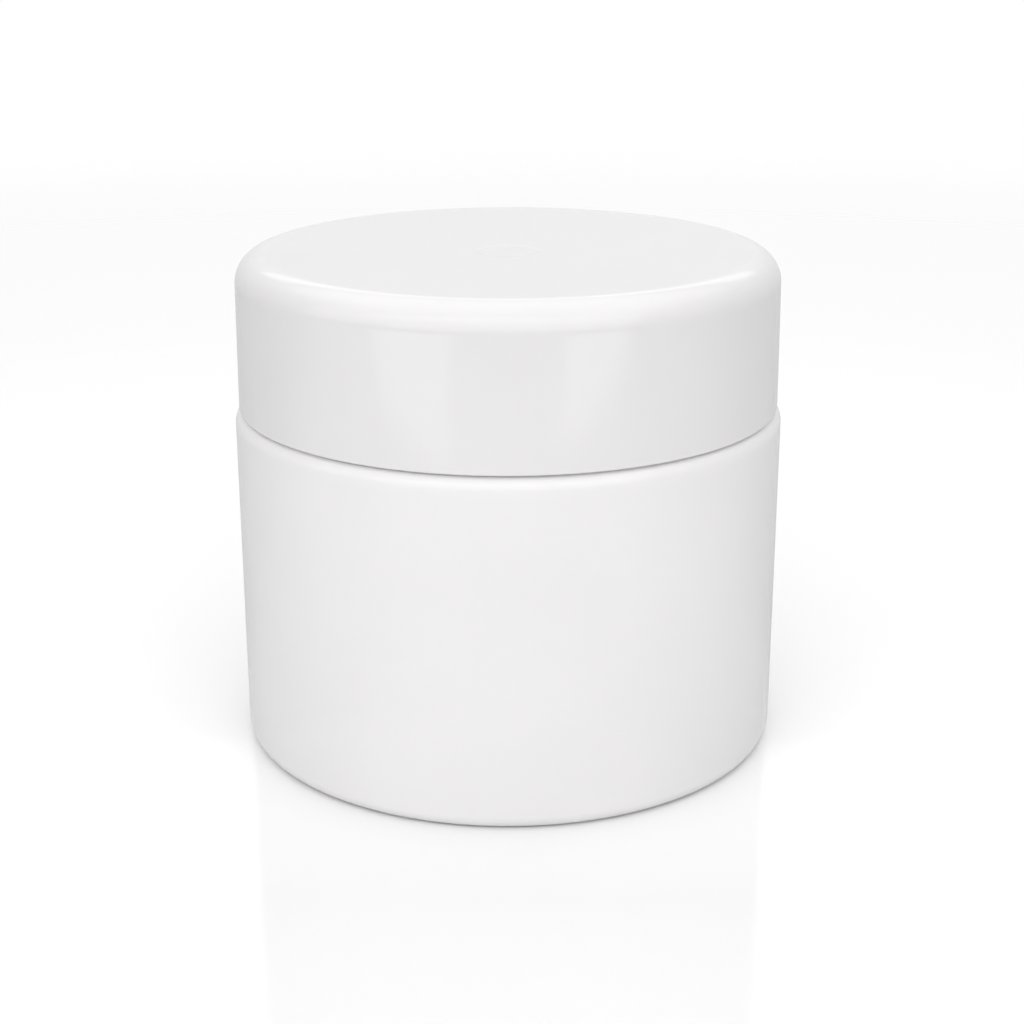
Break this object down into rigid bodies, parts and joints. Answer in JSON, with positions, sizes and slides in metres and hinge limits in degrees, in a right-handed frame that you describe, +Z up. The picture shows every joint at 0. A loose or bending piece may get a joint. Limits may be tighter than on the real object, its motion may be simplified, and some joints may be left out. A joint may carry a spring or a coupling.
{
  "type": "cosmetic cream jar",
  "caption": "Round double-wall jar for cream with a screw lid, a foam liner and a lift-out sealing disc with a pull tab.",
  "frame": {"origin": "centre of the base, on the plane of the foot ring", "axes": "+Z up along the jar's and the thread's axis; the pull tab's tip points to +Y"},
  "size_m": [0.062, 0.062, 0.0564],
  "materials": {
    "jar_shell": "white polypropylene, polished mould",
    "lid_shell": "white polypropylene, polished mould",
    "cup": "white polypropylene, polished mould",
    "insert": "white polypropylene, fine satin",
    "disc": "natural polyethylene, satin",
    "liner": "closed-cell polyethylene foam"
  },
  "bodies": {
    "jar": {"outer_jar": "jar_shell", "inner_cup": "cup"},
    "liner": {"lid_liner": "liner"},
    "lid": {"lid_shell": "lid_shell", "lid_insert": "insert"},
    "disc": {"sealing_disc": "disc"},
    "tab": {"pull_tab": "disc"}
  },
  "joints": [
    {"name": "lid_rise", "type": "slide", "parent": "jar", "child": "liner", "axis": [0, 0, 1], "range_m": [0, 0.048]},
    {"name": "lid_turn", "type": "hinge", "parent": "liner", "child": "lid", "pos_m": [0, 0, 0.0464], "axis": [0, 0, 1], "range_deg": [0, 2160]},
    {"name": "disc_lift", "type": "slide", "parent": "jar", "child": "disc", "axis": [0, 0, 1], "range_m": [0, 0.022]},
    {"name": "tab_fold", "type": "hinge", "parent": "disc", "child": "tab", "pos_m": [0, -0.0075, 0.0499], "axis": [1, 0, 0], "range_deg": [0, 80]}
  ],
  "couplings": [
    {"joint": "lid_rise", "follows": "lid_turn", "m_per_rad": 0.0012732},
    {"joint": "disc_lift", "follows": "lid_turn", "m_per_rad": 0.00058356},
    {"joint": "tab_fold", "follows": "lid_turn", "ratio": 0.037037}
  ]
}
